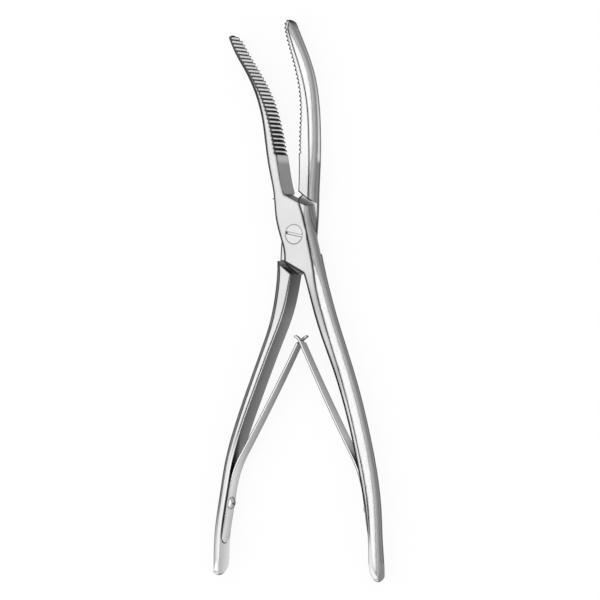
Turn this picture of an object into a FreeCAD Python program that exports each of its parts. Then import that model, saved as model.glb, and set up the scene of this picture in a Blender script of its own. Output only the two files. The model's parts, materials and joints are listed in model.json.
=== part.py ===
import FreeCAD, Part
import math
import operator
import os
import Sketcher

# Plaster cast breaker. Two forged halves cross in a lap joint and turn on one
# slotted screw, and two leaf springs between the handles open the jaws again.
#
# Frame: +Z is the pivot axis and the front face, +Y points to the jaw tips, and
# the origin is on the axis at the underside. Lengths are in millimetres.
#
# The rear half (right jaw, left handle) is drawn where it stands. The front half
# (left jaw, right handle) is drawn shut, and its placement turns it open.

doc = FreeCAD.newDocument("CastBreaker")
sheet = doc.addObject("Spreadsheet::Sheet", "Sizes")

OPENING = 16.9      # degrees between the halves at rest

SIZES = {
    "depth": 10.5,              # front to back of both forgings
    "lap_height": 4.3,          # underside to the sliding plane
    "lap_gap": 0.1,             # play between the two laps
    "bite_gap": 0.4,            # space left between the jaws when shut
    "jaw_edge": 0.2,            # bevel along the inner edges of a jaw
    "handle_edge": 0.7,         # bevel along the inner edges of a handle
    "tooth_pitch": 1.97,        # distance between two grooves of the bite
    "tooth_depth": 0.95,        # depth of a groove
    "tooth_start": 35.6,        # height where the grooves begin
    "screw_head": 8.5,          # pivot screw head, diameter
    "screw_head_height": 2.5,
    "screw_shank": 6.0,         # pivot screw shank, diameter
    "turn_gap": 0.05,           # running clearance of the screw, on the radius
    "thread_gap": 0.02,         # clearance of a threaded fit, on the radius
    "head_seat": 0.1,           # play under the pivot screw head
    "slot_width": 1.1,
    "slot_depth": 1.2,
    "leaf_thick": 0.95,         # leaf spring sheet
    "leaf_foot_width": 6.6,
    "leaf_tip_width": 4.6,
    "tongue_gap": 0.5,          # between the two tongues, front to back
    "tongue_length": 2.8,       # full width stops this far below the crossing
    "leaf_seam": 0.15,          # gap between a blade and its foot
    "seat_gap": 0.02,           # gap under a foot
    "groove_side": 0.5,         # side play of a foot in its groove
    "foot_hole": 2.2,
    "pin_shank": 2.0,           # spring screw shank, diameter
    "pin_length": 3.0,          # length of the shank inside the handle
    "pin_spare": 0.3,           # depth left below the tip of that shank
    "pin_head": 5.8,            # spring screw head, diameter
    "pin_dome": 1.7,            # spring screw head, height
    "pin_slot": 0.7,
    "pin_slot_depth": 0.5,
}

# Jaw stations when shut: height, bite line, relief of both faces behind that line,
# then width of the flat and bulge of the outer side, first for the right jaw and
# then for the left one. A relief below zero lets the teeth reach into each other.
JAW = [
    (20.0, 1.35, 0.70, 5.00, 1.80, 5.00, 1.80),
    (32.0, 2.00, 0.30, 5.20, 2.10, 4.85, 2.05),
    (44.0, 2.60, -0.30, 5.00, 2.50, 4.30, 2.30),
    (54.0, 3.05, -0.35, 4.15, 2.60, 3.30, 2.40),
    (63.0, 2.50, -0.35, 3.45, 2.95, 2.40, 2.50),
    (71.0, 0.95, -0.35, 3.00, 3.35, 1.60, 2.55),
    (79.0, -1.35, -0.35, 2.65, 3.25, 1.25, 2.35),
    (87.0, -3.75, -0.35, 2.20, 2.50, 1.20, 2.10),
    (92.0, -5.00, -0.35, 1.70, 1.80, 1.00, 1.65),
    (97.0, -6.30, -0.35, 1.25, 1.10, 0.80, 1.10),
]

# The other stations are rows of height, inner face, width of the flat and bulge.
# Each jaw and each handle runs through the joint, where the other one takes over.
RIGHT_JAW_ROOT = [
    (-17.9, -5.0, 9.5, 2.5),
    (-9.0, -3.0, 8.4, 2.1),
    (0.0, -1.0, 7.2, 1.9),
    (10.0, 1.2, 5.7, 1.9),
]
LEFT_JAW_ROOT = [
    (-17.9, 4.0, 12.0, 2.3),
    (-9.0, 4.0, 11.6, 2.1),
    (0.0, 3.0, 9.7, 2.0),
    (10.0, 1.6, 8.1, 1.9),
]
LEFT_HANDLE = [
    (18.4, 6.0, 11.2, 1.8),
    (8.0, 5.0, 12.0, 2.0),
    (-4.0, 2.6, 10.3, 2.2),
    (-13.0, -0.5, 7.0, 2.9),
    (-19.4, -1.9, 5.45, 3.4),
    (-27.0, -3.3, 5.0, 3.4),
    (-36.0, -5.8, 4.3, 3.4),
    (-48.0, -10.9, 3.25, 3.4),
    (-64.0, -17.8, 2.9, 3.4),
    (-82.0, -25.3, 2.5, 3.4),
    (-98.0, -31.1, 1.95, 3.4),
    (-112.0, -34.35, 1.6, 3.4),
    (-127.0, -37.1, 1.45, 3.4),
    (-140.0, -38.5, 1.4, 3.3),
    (-155.0, -39.6, 1.2, 3.1),
]
RIGHT_HANDLE = [
    (18.4, -6.0, 12.9, 1.9),
    (8.0, -5.0, 11.6, 2.1),
    (-4.0, -3.4, 9.3, 1.85),
    (-13.0, -1.0, 6.3, 2.0),
    (-19.0, -0.45, 5.1, 2.4),
    (-26.0, -0.55, 4.2, 3.3),
    (-36.0, -0.75, 4.05, 3.6),
    (-48.0, -0.2, 3.7, 3.8),
    (-62.0, 1.1, 3.0, 3.9),
    (-78.0, 1.75, 2.55, 4.0),
    (-92.0, 1.5, 2.35, 4.0),
    (-104.0, 0.75, 2.4, 3.9),
    (-116.0, -0.2, 2.3, 3.6),
    (-128.0, -1.55, 1.7, 3.3),
    (-142.0, -4.4, 1.3, 3.0),
    (-160.0, -8.5, 0.9, 2.7),
]

# Rounded ends, as X and Y where the rounding starts, X and Y of its tip, half the
# width at the start, and the length of the rounding when seen from the side.
NOSES = {
    "right_tip": (-2.7, 89.7, -5.4, 95.7, 1.85, 6.0),
    "left_tip": (-5.9, 91.0, -7.0, 95.7, 1.45, 6.0),
    "left_end": (-41.15, -144.9, -41.3, -152.9, 2.35, 9.0),
    "right_end": (-4.3, -150.4, -6.4, -158.4, 2.0, 9.0),
}

# Corners of the joint, as pairs of X and Y. A lap outline is the window in which
# one half is cut down to its lap. A relief outline is the corner cut off the lap.
REAR_LAP = [
    (13.0, 10.8), (7.5, 15.0), (2.4, 18.9), (0.6, 20.3), (-15.0, 20.3),
    (-15.0, -11.5), (-8.4, -11.8), (-6.6, -13.8), (-1.4, -17.8), (0.1, -19.0), (13.0, -19.0),
]
FRONT_LAP = [
    (-13.0, 10.6), (0.1, 19.0), (1.7, 20.3), (15.0, 20.3), (15.0, -10.8),
    (6.3, -11.3), (4.7, -13.7), (-0.5, -17.9), (-1.9, -19.0), (-13.0, -19.0),
]
REAR_RELIEFS = [
    [(2.1, 18.7), (-14.0, 6.3), (-14.0, 19.5), (2.1, 19.5)],
    [(-1.3, -18.1), (14.0, -3.1), (14.0, -19.0), (-1.3, -19.0)],
]
FRONT_RELIEFS = [
    [(0.45, 18.8), (14.0, 6.3), (14.0, 19.5), (0.45, 19.5)],
    [(-0.5, -18.1), (-14.0, -4.8), (-14.0, -19.0), (-0.5, -19.0)],
]

# Leaf springs. Each is drawn upright in its own frame, with the origin where it
# flexes most and the meeting point of the two leaves straight above.
LEFT_FLEX = (-31.9, -105.5)
RIGHT_FLEX = (31.8, -106.5)
LEAF_REACH = 67.2       # origin to the crossing of the two leaves
FOOT_TILT = 8.3         # degrees that the leaf leans back at its origin
KNEE = (10.4, 46.0)     # degrees and radius of the bend above the origin
TOE = (10.8, 50.0)      # degrees and radius of the bend below the origin
BOW = 3.4               # degrees that the long stretch bends back
CURL = (45.0, 5.0)      # degrees and radius of the curled tongue
CURL_START = 1.0        # the curl begins this far below the crossing
FOOT_LENGTH = 23.9      # straight stretch of the foot
PIN_PLACE = 5.7         # spring screw, from the upper end of that stretch
SLOT_TILT = -11.0       # degrees that the pivot screw's slot falls to the right

OVERSIZE = (0.10, 0.06)     # the two lofts of a half stand this far over its flats
BEVEL_SPAN = (-16.0, -32.0) # heights between which a handle's bevel grows to full size
TOOTH_SKIN = 0.04           # taken off the ridge of every tooth
SEAM_BULGE = 0.22           # how far a foot's upper end stands out at its middle
FAR = 60.0                  # longer than any cut needs to be
NEAR = 10.0                 # past the edges of any leaf, groove or end
ROOTS = {1: "right_jaw_root", -1: "left_jaw_root"}


class Size:
    """A number together with the sheet expression that gives it."""

    def __init__(self, value, text):
        self.value = value
        self.text = text

    def __add__(self, other):
        return joined(self, other, "+", operator.add)

    def __sub__(self, other):
        return joined(self, other, "-", operator.sub)

    def __mul__(self, other):
        return joined(self, other, "*", operator.mul)

    def __truediv__(self, other):
        return joined(self, other, "/", operator.truediv)


def joined(first, second, sign, work):
    """Join two sizes, or a size and a number, with one arithmetic sign."""
    if not isinstance(second, Size):
        second = Size(float(second), "(%.6f)" % second)
    text = "(%s %s %s)" % (first.text, sign, second.text)
    return Size(work(first.value, second.value), text)


def write_sizes(names):
    """Write every driving size to the sheet and read it back from there."""
    for row, name in enumerate(names, start=1):
        sheet.set("A%d" % row, name)
        sheet.set("B%d" % row, str(names[name]))
        sheet.setAlias("B%d" % row, name)
    doc.recompute()
    return {name: Size(float(sheet.get(name)), "Sizes." + name) for name in names}


def table_names(label, rows, columns):
    """Name each number of a table, such as left_handle_4_flat."""
    names = {}
    for place, row in enumerate(rows, start=1):
        for column, number in zip(columns, row):
            names["%s_%d_%s" % (label, place, column)] = number
    return names


LIMB_COLUMNS = ("height", "inner", "flat", "bulge")
POINT_COLUMNS = ("across", "up")
TABLES = {
    "right_jaw_root": (RIGHT_JAW_ROOT, LIMB_COLUMNS),
    "left_jaw_root": (LEFT_JAW_ROOT, LIMB_COLUMNS),
    "left_handle": (LEFT_HANDLE, LIMB_COLUMNS),
    "right_handle": (RIGHT_HANDLE, LIMB_COLUMNS),
    "jaw": (JAW, ("height", "bite", "relief", "right_flat", "right_bulge",
                  "left_flat", "left_bulge")),
    "nose": (list(NOSES.values()), ("x", "y", "tip_x", "tip_y", "half", "drop")),
    "rear_lap": (REAR_LAP, POINT_COLUMNS),
    "front_lap": (FRONT_LAP, POINT_COLUMNS),
}
all_names = dict(SIZES)
for label, (rows, columns) in TABLES.items():
    all_names.update(table_names(label, rows, columns))
size = write_sizes(all_names)


def table(label):
    """The rows of a table as sizes that the sheet drives."""
    rows, columns = TABLES[label]
    names = ["%s_%d_" % (label, place) for place in range(1, len(rows) + 1)]
    return [[size[name + column] for column in columns] for name in names]


half_depth = size["depth"] / 2
zero = size["depth"] * 0


def new_body(name):
    body = doc.addObject("PartDesign::Body", name)
    body.Label = name
    return body


def new_sketch(body, name, plane="XY_Plane", offset=None):
    """A sketch on one of the body's own planes, moved by an offset."""
    sketch = body.newObject("Sketcher::SketchObject", name)
    base = [item for item in body.Origin.OriginFeatures if item.Role == plane][0]
    sketch.AttachmentSupport = [(base, "")]
    sketch.MapMode = "FlatFace"
    if offset is not None:
        sketch.AttachmentOffset = offset
    return sketch


def lifted(height):
    """An offset straight up from the sketch's plane."""
    return FreeCAD.Placement(FreeCAD.Vector(0, 0, height), FreeCAD.Rotation())


def fix(sketch, kind, first, second, value):
    """Add one measured constraint and let the sheet drive it."""
    index = sketch.addConstraint(Sketcher.Constraint(kind, *first, *second, value.value))
    sketch.setExpression("Constraints[%d]" % index, value.text)


def fix_point(sketch, edge, end, across, up):
    """Hold one end of an edge at two sizes from the sketch's origin."""
    fix(sketch, "DistanceX", (-1, 1), (edge, end), across)
    fix(sketch, "DistanceY", (-1, 1), (edge, end), up)


def chain(sketch, count):
    """Join the edges 0 to count - 1 into a closed loop."""
    for edge in range(count):
        sketch.addConstraint(
            Sketcher.Constraint("Coincident", edge, 2, (edge + 1) % count, 1))


def add_lines(sketch, points):
    """Add straight edges from each point to the next."""
    for start, stop in zip(points[:-1], points[1:]):
        sketch.addGeometry(Part.LineSegment(start, stop))


def polygon(body, name, corners, plane="XY_Plane", offset=None):
    """A closed outline with straight sides through corners given as sizes."""
    sketch = new_sketch(body, name, plane, offset)
    points = [FreeCAD.Vector(across.value, up.value, 0) for across, up in corners]
    add_lines(sketch, points + points[:1])
    chain(sketch, len(points))
    for edge, (across, up) in enumerate(corners):
        fix_point(sketch, edge, 1, across, up)
    return sketch


def cut(body, name, sketch, length, upward=False, both=False):
    """Pocket a sketch and make sure that it changed the body."""
    before = body.Shape.Volume
    pocket = body.newObject("PartDesign::Pocket", name)
    pocket.Profile = sketch
    pocket.Length = length
    pocket.Reversed = upward
    pocket.Midplane = both
    doc.recompute()
    if abs(body.Shape.Volume - before) < 1e-6:
        raise ValueError(name + " cuts nothing")
    return pocket


def flat_section(body, name, row, side, edge, over):
    """One cross section: flat inner face, flat front and back, round outer side."""
    height, inner, flat, bulge = row
    sketch = new_sketch(body, name, "XZ_Plane", lifted(-height.value))
    sketch.setExpression(".AttachmentOffset.Base.z", "-1 * " + height.text)
    radius = (half_depth * half_depth + bulge * bulge) / (bulge * 2)
    centre = inner + (flat + bulge - radius) * side
    bevel = edge + over
    top = size["depth"] + over
    reach = math.sqrt(radius.value ** 2 - (half_depth.value + over) ** 2)
    shoulder = centre.value + side * reach
    start = [
        (inner.value, edge.value),
        (inner.value, size["depth"].value - edge.value),
        (inner.value + side * bevel.value, top.value),
        (shoulder, top.value),
        (shoulder, -over),
        (inner.value + side * bevel.value, -over),
    ]
    points = [FreeCAD.Vector(across, up, 0) for across, up in start]
    crown = FreeCAD.Vector(centre.value + side * radius.value, half_depth.value, 0)
    add_lines(sketch, points[:4])
    sketch.addGeometry(Part.Arc(points[3], crown, points[4]))
    add_lines(sketch, points[4:] + points[:1])
    join_section(sketch, side)
    fix_point(sketch, 0, 1, inner, edge)
    fix(sketch, "DistanceY", (0, 1), (0, 2), size["depth"] - edge * 2)
    fix(sketch, "DistanceX", (0, 2), (1, 2), bevel * side)
    fix(sketch, "DistanceY", (0, 2), (1, 2), bevel)
    fix(sketch, "DistanceX", (0, 1), (5, 1), bevel * side)
    fix(sketch, "DistanceY", (5, 1), (0, 1), bevel)
    fix_point(sketch, 3, 3, centre, half_depth)
    fix(sketch, "Radius", (3,), (), radius)
    return sketch


def join_section(sketch, side):
    """Close a cross section whose fourth edge is an arc."""
    arc_start, arc_end = (2, 1) if side > 0 else (1, 2)
    links = [(0, 2, 1, 1), (1, 2, 2, 1), (2, 2, 3, arc_start), (3, arc_end, 4, 1),
             (4, 2, 5, 1), (5, 2, 0, 1)]
    for link in links:
        sketch.addConstraint(Sketcher.Constraint("Coincident", *link))
    sketch.addConstraint(Sketcher.Constraint("Vertical", 0))
    sketch.addConstraint(Sketcher.Constraint("Horizontal", 2))
    sketch.addConstraint(Sketcher.Constraint("Horizontal", 4))


def limb(body, name, rows, side, edges, over):
    """Loft a jaw or a handle through its stations."""
    sections = []
    for place, (row, edge) in enumerate(zip(rows, edges), start=1):
        label = "%s_section_%d" % (name, place)
        sections.append(flat_section(body, label, row, side, edge, over))
    loft = body.newObject("PartDesign::AdditiveLoft", name)
    loft.Profile = sections[0]
    loft.Sections = sections[1:]
    loft.Ruled = False
    doc.recompute()
    return loft


def jaw_rows(root, side):
    """The jaw's own stations on one side of the bite line, after its root."""
    rows = table(root)
    for height, bite, relief, *outer in table("jaw"):
        inner = bite + (relief + size["bite_gap"] / 2) * side
        flat, bulge = outer[:2] if side > 0 else outer[2:]
        rows.append([height, inner, flat, bulge])
    return rows


def handle_edges(rows):
    """The bevel grows from nothing much at the joint to its full size."""
    start, end = BEVEL_SPAN
    edges = []
    for row in rows:
        share = min(max((row[0].value - start) / (end - start), 0.0), 1.0)
        edges.append(size["jaw_edge"] + (size["handle_edge"] - size["jaw_edge"]) * share)
    return edges


def trim_flats(body):
    """Cut the front and the back to true planes."""
    corners = [(-FAR, -3 * FAR), (FAR, -3 * FAR), (FAR, 2 * FAR), (-FAR, 2 * FAR)]
    frame = [(zero + across, zero + up) for across, up in corners]
    front = polygon(body, "front_flat_outline", frame, offset=lifted(size["depth"].value))
    front.setExpression(".AttachmentOffset.Base.z", size["depth"].text)
    cut(body, "front_flat", front, 1.0, upward=True)
    back = polygon(body, "back_flat_outline", frame)
    cut(body, "back_flat", back, 1.0)


def half_ellipse(middle, tip, side_point):
    """The half of an ellipse that lies on the tip's side of its middle."""
    full = Part.Ellipse(tip, side_point, middle)
    return Part.ArcOfEllipse(full, -math.pi / 2, math.pi / 2)


def round_nose(body, name):
    """Round one end of a limb, first seen from the front, then from the side."""
    row = table("nose")[list(NOSES).index(name)]
    x, y, tip_x, tip_y, half, drop = [number.value for number in row]
    middle, tip = FreeCAD.Vector(x, y, 0), FreeCAD.Vector(tip_x, tip_y, 0)
    along = (tip - middle).normalize()
    across = FreeCAD.Vector(-along.y, along.x, 0)
    sketch = new_sketch(body, name + "_front_outline")
    arc = half_ellipse(middle, tip, middle + across * half)
    wide, beyond = across * NEAR, tip + along * NEAR
    sketch.addGeometry(arc)
    add_lines(sketch, [arc.EndPoint, middle + wide, beyond + wide,
                       beyond - wide, middle - wide, arc.StartPoint])
    cut(body, name + "_front_round", sketch, FAR, both=True)
    way = 1 if tip_y > y else -1
    middle = FreeCAD.Vector(tip_y - way * drop, half_depth.value, 0)
    tip = FreeCAD.Vector(tip_y, half_depth.value, 0)
    rise = FreeCAD.Vector(0, way * (half_depth.value + OVERSIZE[0]), 0)
    side = new_sketch(body, name + "_side_outline", "YZ_Plane")
    arc = half_ellipse(middle, tip, middle + rise)
    ahead = FreeCAD.Vector(way * (drop + NEAR), 0, 0)
    side.addGeometry(arc)
    add_lines(side, [arc.EndPoint, arc.EndPoint + ahead, arc.StartPoint + ahead, arc.StartPoint])
    cut(body, name + "_side_round", side, 3 * FAR, both=True)


def bite_grooves(body, name, side, shift):
    """Cut the cross grooves of the bite as one zigzag along the jaw's face."""
    rows = jaw_rows(ROOTS[side], side)[-len(JAW):]
    line = Part.BSplineCurve()
    line.interpolate([FreeCAD.Vector(row[1].value, row[0].value, 0) for row in rows])
    pitch, depth = size["tooth_pitch"].value, size["tooth_depth"].value
    first = line.parameter(FreeCAD.Vector(rows[1][1].value, size["tooth_start"].value, 0))
    total = line.length(first, line.LastParameter)
    count = int(2 * (total - shift) / pitch)
    zigzag = []
    for step in range(count + 1):
        spot = line.parameterAtDistance(shift + step * pitch / 2, first)
        along = line.tangent(spot)[0]
        inward = FreeCAD.Vector(along.y, -along.x, 0) * side
        zigzag.append(line.value(spot) + inward * (depth if step % 2 else TOOTH_SKIN))
    out = FreeCAD.Vector(-NEAR * side, 0, 0)
    loop = [zigzag[0] + out] + zigzag + [zigzag[-1] + out]
    sketch = new_sketch(body, name + "_outline")
    add_lines(sketch, loop + loop[:1])
    cut(body, name, sketch, FAR, both=True)


def round_hole(body, name, diameter, bottom, length, upward=True):
    """Drill a round hole on the pivot axis."""
    sketch = new_sketch(body, name + "_outline", offset=lifted(bottom.value))
    sketch.setExpression(".AttachmentOffset.Base.z", bottom.text)
    circle = Part.Circle(FreeCAD.Vector(0, 0, 0), FreeCAD.Vector(0, 0, 1), diameter.value / 2)
    sketch.addGeometry(circle)
    sketch.addConstraint(Sketcher.Constraint("Coincident", 0, 3, -1, 1))
    fix(sketch, "Diameter", (0,), (), diameter)
    cut(body, name, sketch, length, upward=upward)


def turned(angle, point):
    """A placement that turns about Z and then moves to a point at mid depth."""
    spin = FreeCAD.Rotation(FreeCAD.Vector(0, 0, 1), angle)
    return FreeCAD.Placement(FreeCAD.Vector(point[0], point[1], half_depth.value), spin)


def crossing():
    """The point where two leaves of equal reach meet above their origins."""
    left, right = FreeCAD.Vector(*LEFT_FLEX), FreeCAD.Vector(*RIGHT_FLEX)
    base = right - left
    rise = math.sqrt(LEAF_REACH ** 2 - (base.Length / 2) ** 2)
    upward = FreeCAD.Vector(-base.y, base.x, 0).normalize()
    return (left + right) * 0.5 + upward * rise


def leaf_places():
    """Placements of the left and the right leaf at rest."""
    meet = crossing()
    left_lean = math.degrees(math.atan2(meet.x - LEFT_FLEX[0], meet.y - LEFT_FLEX[1]))
    right_lean = math.degrees(math.atan2(RIGHT_FLEX[0] - meet.x, meet.y - RIGHT_FLEX[1]))
    flip = FreeCAD.Placement(FreeCAD.Vector(), FreeCAD.Rotation(FreeCAD.Vector(0, 1, 0), 180))
    return turned(-left_lean, LEFT_FLEX), turned(right_lean, RIGHT_FLEX) * flip


def walk(start, heading, stretches):
    """Follow straight and bent stretches and list their ends with the headings.

    A heading is in degrees, to the right of straight up. A stretch is a length and
    a turn, where the turn is in degrees to the right.
    """
    points = [(start, heading)]
    for length, turn in stretches:
        middle = math.radians(heading + turn / 2)
        half = math.radians(turn / 2)
        chord = length if turn == 0 else length * math.sin(half) / half
        step = FreeCAD.Vector(math.sin(middle), math.cos(middle), 0) * chord
        start, heading = start + step, heading + turn
        points.append((start, heading))
    return points


def rightward(heading):
    """Unit vector to the right of a heading."""
    angle = math.radians(heading)
    return FreeCAD.Vector(math.cos(angle), -math.sin(angle), 0)


def side_edges(start, heading, stretches, shift):
    """Lines and arcs that run beside a walked path at a fixed distance."""
    ends = walk(start, heading, stretches)
    edges = []
    for (here, before), (there, after), (length, turn) in zip(ends[:-1], ends[1:], stretches):
        first = here + rightward(before) * shift
        last = there + rightward(after) * shift
        if turn == 0:
            edges.append(Part.LineSegment(first, last))
            continue
        middle = walk(here, before, [(length / 2, turn / 2)])[1]
        edges.append(Part.Arc(first, middle[0] + rightward(middle[1]) * shift, last))
    return edges


def arc_length(bend):
    degrees, radius = bend
    return math.radians(degrees) * radius


def blade_stretches():
    """The blade's path: the knee, the long bowed stretch and the curled tongue."""
    knee = (arc_length(KNEE), KNEE[0])
    long = LEAF_REACH - CURL_START - knee[0]
    return [knee, (long, -BOW), (arc_length(CURL), CURL[0])]


def foot_stretches(extra=0.0):
    """The foot's path downward: the bend below the origin and the straight seat."""
    return [(arc_length(TOE), -TOE[0]), (FOOT_LENGTH + extra, 0)]


def add_strip(body, name, start, heading, stretches, width, inner_cap, outer_cap):
    """Pad a strip of sheet that follows a path."""
    half = size["leaf_thick"].value / 2
    right = side_edges(start, heading, stretches, half)
    left = side_edges(start, heading, stretches, -half)
    sketch = new_sketch(body, name + "_outline")
    for edge in right + left:
        sketch.addGeometry(edge)
    sketch.addGeometry(inner_cap(left[0].StartPoint, right[0].StartPoint))
    sketch.addGeometry(outer_cap(left[-1].EndPoint, right[-1].EndPoint))
    pad = body.newObject("PartDesign::Pad", name)
    pad.Profile = sketch
    pad.Length = width.value
    pad.Midplane = True
    pad.setExpression("Length", width.text)
    doc.recompute()


def cap(bulge):
    """An end cap whose middle stands out from the chord by a bulge."""
    def make(first, last):
        if bulge.Length < 1e-9:
            return Part.LineSegment(first, last)
        return Part.Arc(first, (first + last) * 0.5 + bulge, last)
    return make


def taper(body, name, low, high, low_half, high_half):
    """Cut both edges of a strip to a straight taper between two heights."""
    for side, word in ((1, "front"), (-1, "back")):
        outer = NEAR * side
        corners = [(low, low_half * side), (high, high_half * side), (high, outer), (low, outer)]
        sketch = new_sketch(body, "%s_%s_outline" % (name, word), "YZ_Plane")
        points = [FreeCAD.Vector(up, out, 0) for up, out in corners]
        add_lines(sketch, points + points[:1])
        cut(body, "%s_%s" % (name, word), sketch, FAR, both=True)


def blade(name, place):
    """The springing part of a leaf, from its flexing point to the curled tongue."""
    body = new_body(name)
    half = size["leaf_thick"].value / 2
    flat = FreeCAD.Vector()
    down = FreeCAD.Vector(math.sin(math.radians(FOOT_TILT)), -math.cos(math.radians(FOOT_TILT)), 0)
    add_strip(body, name + "_strip", FreeCAD.Vector(), -FOOT_TILT, blade_stretches(),
              size["leaf_foot_width"], cap(down * half), cap(flat))
    low = size["leaf_foot_width"].value / 2
    high = size["leaf_tip_width"].value / 2
    top = LEAF_REACH + NEAR
    taper(body, name + "_taper", 0.0, top, low, high)
    stop = LEAF_REACH - size["tongue_length"].value
    gap = size["tongue_gap"].value / 2
    corners = [(stop, -gap), (top, -gap), (top, NEAR), (stop, NEAR)]
    sketch = new_sketch(body, name + "_tongue_outline", "YZ_Plane")
    points = [FreeCAD.Vector(up, out, 0) for up, out in corners]
    add_lines(sketch, points + points[:1])
    cut(body, name + "_tongue", sketch, FAR, both=True)
    body.Placement = place
    return body


def foot_frame():
    """Where the foot's straight stretch starts, and its heading going down."""
    start = FreeCAD.Vector()
    ends = walk(start, 180.0 - FOOT_TILT, foot_stretches())
    return ends[1], ends[2]


def seat_plane(distance, depth):
    """A sketch placement on the foot: normal out of its free face, Y down along it."""
    (upper, heading), _ = foot_frame()
    angle = math.radians(heading)
    along = FreeCAD.Vector(math.sin(angle), math.cos(angle), 0)
    out = rightward(heading) * -1
    spot = upper + along * distance + out * depth
    side = along.cross(out)
    matrix = FreeCAD.Matrix(side.x, along.x, out.x, spot.x,
                            side.y, along.y, out.y, spot.y,
                            side.z, along.z, out.z, spot.z,
                            0, 0, 0, 1)
    return FreeCAD.Placement(matrix)


def foot(name, place):
    """The fixed part of a leaf, screwed to its handle."""
    body = new_body(name)
    half = size["leaf_thick"].value / 2
    down = 180.0 - FOOT_TILT
    hollow = half + size["leaf_seam"].value
    first = walk(FreeCAD.Vector(), down, [(hollow, -hollow / arc_length(TOE) * TOE[0])])[1]
    bend, seat = foot_stretches()
    rest = bend[0] - hollow
    stretches = [(rest, bend[1] * rest / bend[0]), seat]
    way = FreeCAD.Vector(math.sin(math.radians(down)), math.cos(math.radians(down)), 0)
    add_strip(body, name + "_strip", first[0], first[1], stretches,
              size["leaf_foot_width"], cap(way * SEAM_BULGE), cap(FreeCAD.Vector()))
    hole = new_sketch(body, name + "_hole_outline", offset=seat_plane(PIN_PLACE, 0.0))
    hole.addGeometry(Part.Circle(FreeCAD.Vector(), FreeCAD.Vector(0, 0, 1),
                                 size["foot_hole"].value / 2))
    cut(body, name + "_hole", hole, NEAR, both=True)
    radius = size["leaf_foot_width"].value / 2
    end = new_sketch(body, name + "_end_outline", offset=seat_plane(FOOT_LENGTH - radius, 0.0))
    arc = Part.ArcOfCircle(Part.Circle(FreeCAD.Vector(), FreeCAD.Vector(0, 0, 1), radius),
                           0.0, math.pi)
    end.addGeometry(arc)
    add_lines(end, [arc.EndPoint, FreeCAD.Vector(-NEAR, 0, 0), FreeCAD.Vector(-NEAR, NEAR, 0),
                    FreeCAD.Vector(NEAR, NEAR, 0), FreeCAD.Vector(NEAR, 0, 0), arc.StartPoint])
    cut(body, name + "_end", end, NEAR, both=True)
    body.Placement = place
    return body


def seat_groove(body, name, place):
    """Cut the groove for a foot and the blind hole for its screw into a handle."""
    sunk = size["leaf_thick"].value / 2 + size["seat_gap"].value
    width = size["leaf_foot_width"].value + 2 * size["groove_side"].value
    down = 180.0 - FOOT_TILT
    radius = width / 2
    extra = size["groove_side"].value - radius
    floor = side_edges(FreeCAD.Vector(), down, foot_stretches(extra), sunk)
    sketch = new_sketch(body, name + "_outline", offset=place)
    top, end = floor[0].StartPoint, floor[-1].EndPoint
    inner = FreeCAD.Vector(NEAR, 0, 0)
    for edge in floor:
        sketch.addGeometry(edge)
    add_lines(sketch, [end, end + inner, top + inner, top])
    cut(body, name, sketch, width, both=True)
    rounding = place * seat_plane(FOOT_LENGTH + extra, -sunk)
    mill = new_sketch(body, name + "_end_outline", offset=rounding)
    mill.addGeometry(Part.Circle(FreeCAD.Vector(), FreeCAD.Vector(0, 0, 1), radius))
    cut(body, name + "_end", mill, NEAR, upward=True)
    drill = new_sketch(body, name + "_drill_outline",
                       offset=place * seat_plane(PIN_PLACE, -sunk))
    bore = size["pin_shank"].value / 2 + size["thread_gap"].value
    drill.addGeometry(Part.Circle(FreeCAD.Vector(), FreeCAD.Vector(0, 0, 1), bore))
    cut(body, name + "_drill", drill, size["pin_length"].value + size["pin_spare"].value)


def rear_half(leaf_place):
    """Right jaw and left handle in one forging, with the lap at the back."""
    body = new_body("rear_half")
    rows = jaw_rows("right_jaw_root", 1)
    limb(body, "right_jaw", rows, 1, [size["jaw_edge"]] * len(rows), OVERSIZE[0])
    rows = table("left_handle")
    limb(body, "left_handle", rows, -1, handle_edges(rows), OVERSIZE[1])
    trim_flats(body)
    floor = size["lap_height"] - size["lap_gap"] / 2
    window = polygon(body, "rear_lap_outline", table("rear_lap"), offset=lifted(floor.value))
    window.setExpression(".AttachmentOffset.Base.z", floor.text)
    cut(body, "rear_lap", window, FAR, upward=True)
    cut_reliefs(body, "rear_relief", REAR_RELIEFS)
    bite_grooves(body, "right_bite", 1, 0.0)
    round_nose(body, "right_tip")
    round_nose(body, "left_end")
    thread = size["screw_shank"] + size["thread_gap"] * 2
    round_hole(body, "screw_thread", thread, zero, FAR)
    seat_groove(body, "left_groove", leaf_place)
    return body


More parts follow.
